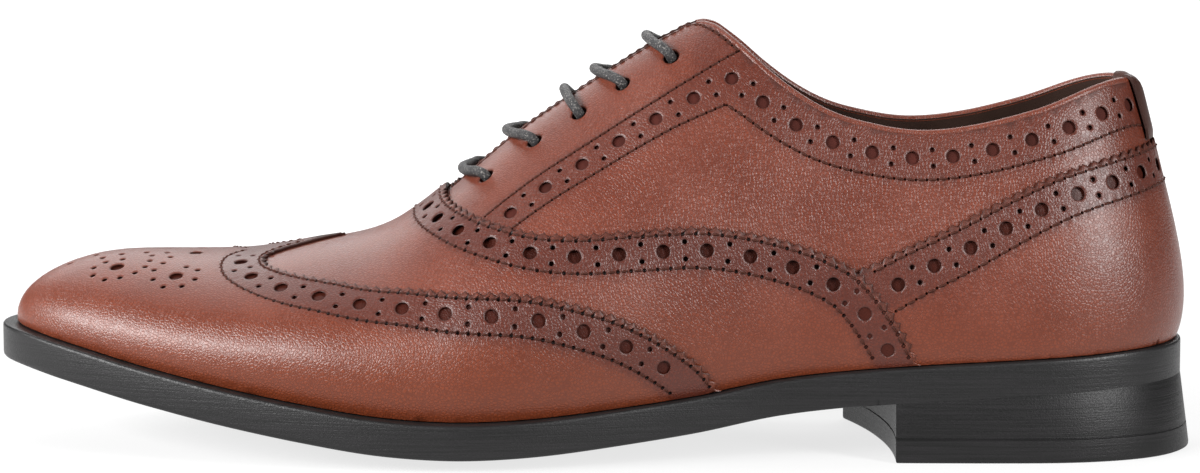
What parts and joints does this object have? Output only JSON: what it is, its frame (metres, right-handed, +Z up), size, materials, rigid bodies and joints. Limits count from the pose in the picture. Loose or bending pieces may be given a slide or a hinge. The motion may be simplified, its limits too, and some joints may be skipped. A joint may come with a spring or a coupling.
{
  "type": "brogue shoe",
  "caption": "Left wing-tip brogue lace-up shoe in brown pebble-grain leather, hollow inside, on a charcoal rubber sole and heel",
  "frame": {"origin": "on the floor, under the middle of the shoe's length and width", "axes": "+X from the toe to the heel, +Y to the inner (medial) side, -Y to the outer (lateral) side, +Z up"},
  "size_m": [0.3049, 0.1062, 0.1079],
  "materials": {
    "upper_leather": "pebble-grain calf leather, burnished, semi-gloss",
    "strip_leather": "smooth dark brown leather, satin",
    "lining_leather": "smooth lining leather, matte",
    "sole_rubber": "charcoal rubber, brushed edge, satin",
    "waxed_lace": "waxed round cotton cord, satin"
  },
  "bodies": {
    "root": {"outsole": "sole_rubber", "heel": "sole_rubber", "top_lift": "sole_rubber", "insole": "lining_leather", "upper": "upper_leather", "vamp": "upper_leather", "wing_cap": "upper_leather", "counter": "upper_leather", "back_strip": "strip_leather", "tongue": "upper_leather", "lace_bar_1": "waxed_lace", "lace_bar_2": "waxed_lace", "lace_bar_3": "waxed_lace", "lace_bar_4": "waxed_lace", "lace_bar_5": "waxed_lace"}
  },
  "joints": []
}
